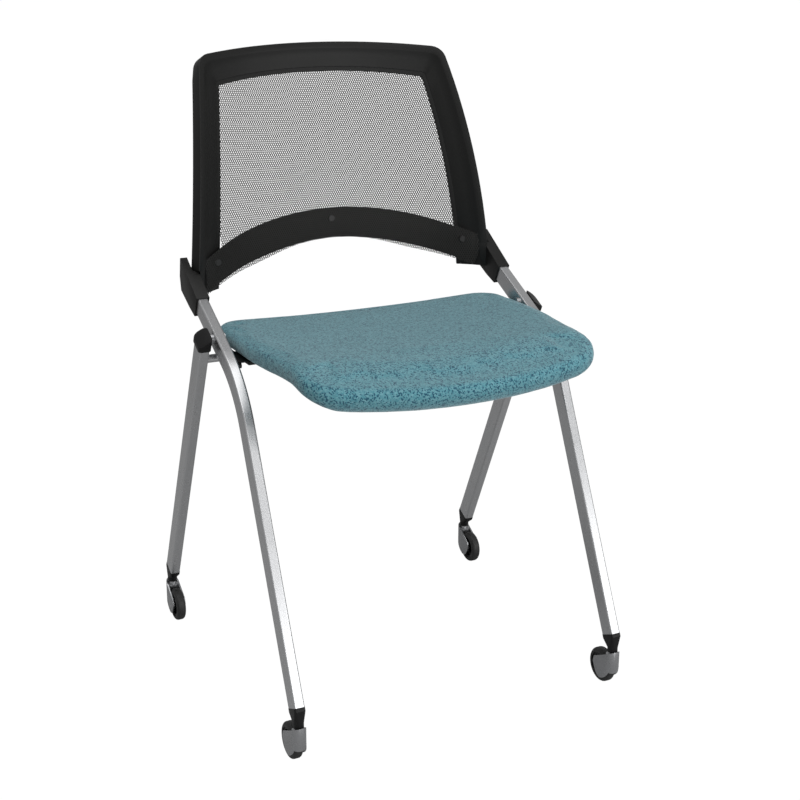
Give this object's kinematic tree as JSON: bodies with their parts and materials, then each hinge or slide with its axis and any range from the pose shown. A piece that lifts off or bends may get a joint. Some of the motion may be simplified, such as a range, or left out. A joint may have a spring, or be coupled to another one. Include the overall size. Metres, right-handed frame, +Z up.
{
  "type": "nesting chair",
  "caption": "Nesting chair with a flip-up upholstered seat, a curved mesh back, crossed tube legs and swivel casters.",
  "frame": {"origin": "on the floor under the middle of the whole chair", "axes": "+Z up, -Y towards the front of the chair, +X towards the left of the person sitting"},
  "size_m": [0.5178, 0.5246, 0.84],
  "materials": {
    "frame_silver": "satin silver powder coat",
    "cap_plastic": "black moulded nylon",
    "screw_steel": "zinc-plated",
    "screw_black": "black coated",
    "stop_plastic": "black rubber bumper",
    "back_plastic": "black moulded nylon, satin",
    "band_plastic": "warm black moulded nylon",
    "mesh_fabric": "black knitted mesh",
    "seat_fabric": "teal heathered tweed",
    "board_plastic": "black moulded seat board",
    "hinge_plastic": "black glass-filled nylon",
    "bush_plastic": "natural acetal",
    "caster_steel": "zinc-plated",
    "hood_silver": "silver painted hood",
    "hub_plastic": "black nylon",
    "tyre_rubber": "black soft tread"
  },
  "bodies": {
    "frame": {"front_tube_right": "frame_silver", "front_tube_left": "frame_silver", "rear_leg_right": "frame_silver", "rear_leg_left": "frame_silver", "leg_top_cap_right": "cap_plastic", "leg_top_cap_left": "cap_plastic", "frame_spacers": "frame_silver", "frame_bolts": "screw_steel", "pivot_tube": "frame_silver", "stop_pins": "stop_plastic", "back_frame": "back_plastic", "back_band": "band_plastic", "mesh_panel": "mesh_fabric", "back_bracket_right": "back_plastic", "back_bracket_left": "back_plastic", "band_screws": "screw_black", "bracket_screws": "screw_steel", "end_cap_front_right": "cap_plastic", "end_cap_front_left": "cap_plastic", "end_cap_rear_right": "cap_plastic", "end_cap_rear_left": "cap_plastic"},
    "seat": {"seat_cushion": "seat_fabric", "seat_board": "board_plastic", "seat_hinge_right": "hinge_plastic", "seat_hinge_left": "hinge_plastic", "hinge_bushes": "bush_plastic", "hinge_screws": "screw_steel"},
    "caster_front_right": {"caster_stem_front_right": "caster_steel", "caster_hood_front_right": "hood_silver", "caster_axle_front_right": "caster_steel"},
    "wheel_front_right": {"wheel_hub_front_right": "hub_plastic", "wheel_tyre_front_right": "tyre_rubber"},
    "caster_front_left": {"caster_stem_front_left": "caster_steel", "caster_hood_front_left": "hood_silver", "caster_axle_front_left": "caster_steel"},
    "wheel_front_left": {"wheel_hub_front_left": "hub_plastic", "wheel_tyre_front_left": "tyre_rubber"},
    "caster_rear_right": {"caster_stem_rear_right": "caster_steel", "caster_hood_rear_right": "hood_silver", "caster_axle_rear_right": "caster_steel"},
    "wheel_rear_right": {"wheel_hub_rear_right": "hub_plastic", "wheel_tyre_rear_right": "tyre_rubber"},
    "caster_rear_left": {"caster_stem_rear_left": "caster_steel", "caster_hood_rear_left": "hood_silver", "caster_axle_rear_left": "caster_steel"},
    "wheel_rear_left": {"wheel_hub_rear_left": "hub_plastic", "wheel_tyre_rear_left": "tyre_rubber"}
  },
  "joints": [
    {"name": "seat_flip", "type": "hinge", "parent": "frame", "child": "seat", "pos_m": [0, 0.03273, 0.45345], "axis": [-1, 0, 0], "range_deg": [0, 78]},
    {"name": "swivel_front_right", "type": "hinge", "parent": "frame", "child": "caster_front_right", "pos_m": [-0.2295, -0.24286, 0.0237], "axis": [0, 0, 1], "continuous": true},
    {"name": "roll_front_right", "type": "hinge", "parent": "caster_front_right", "child": "wheel_front_right", "pos_m": [-0.2295, -0.22086, 0.0237], "axis": [1, 0, 0], "continuous": true},
    {"name": "swivel_front_left", "type": "hinge", "parent": "frame", "child": "caster_front_left", "pos_m": [0.2295, -0.24286, 0.0237], "axis": [0, 0, 1], "continuous": true},
    {"name": "roll_front_left", "type": "hinge", "parent": "caster_front_left", "child": "wheel_front_left", "pos_m": [0.2295, -0.22086, 0.0237], "axis": [1, 0, 0], "continuous": true},
    {"name": "swivel_rear_right", "type": "hinge", "parent": "frame", "child": "caster_rear_right", "pos_m": [-0.2493, 0.22434, 0.0237], "axis": [0, 0, 1], "continuous": true},
    {"name": "roll_rear_right", "type": "hinge", "parent": "caster_rear_right", "child": "wheel_rear_right", "pos_m": [-0.2493, 0.20234, 0.0237], "axis": [1, 0, 0], "continuous": true},
    {"name": "swivel_rear_left", "type": "hinge", "parent": "frame", "child": "caster_rear_left", "pos_m": [0.2493, 0.22434, 0.0237], "axis": [0, 0, 1], "continuous": true},
    {"name": "roll_rear_left", "type": "hinge", "parent": "caster_rear_left", "child": "wheel_rear_left", "pos_m": [0.2493, 0.20234, 0.0237], "axis": [1, 0, 0], "continuous": true}
  ]
}
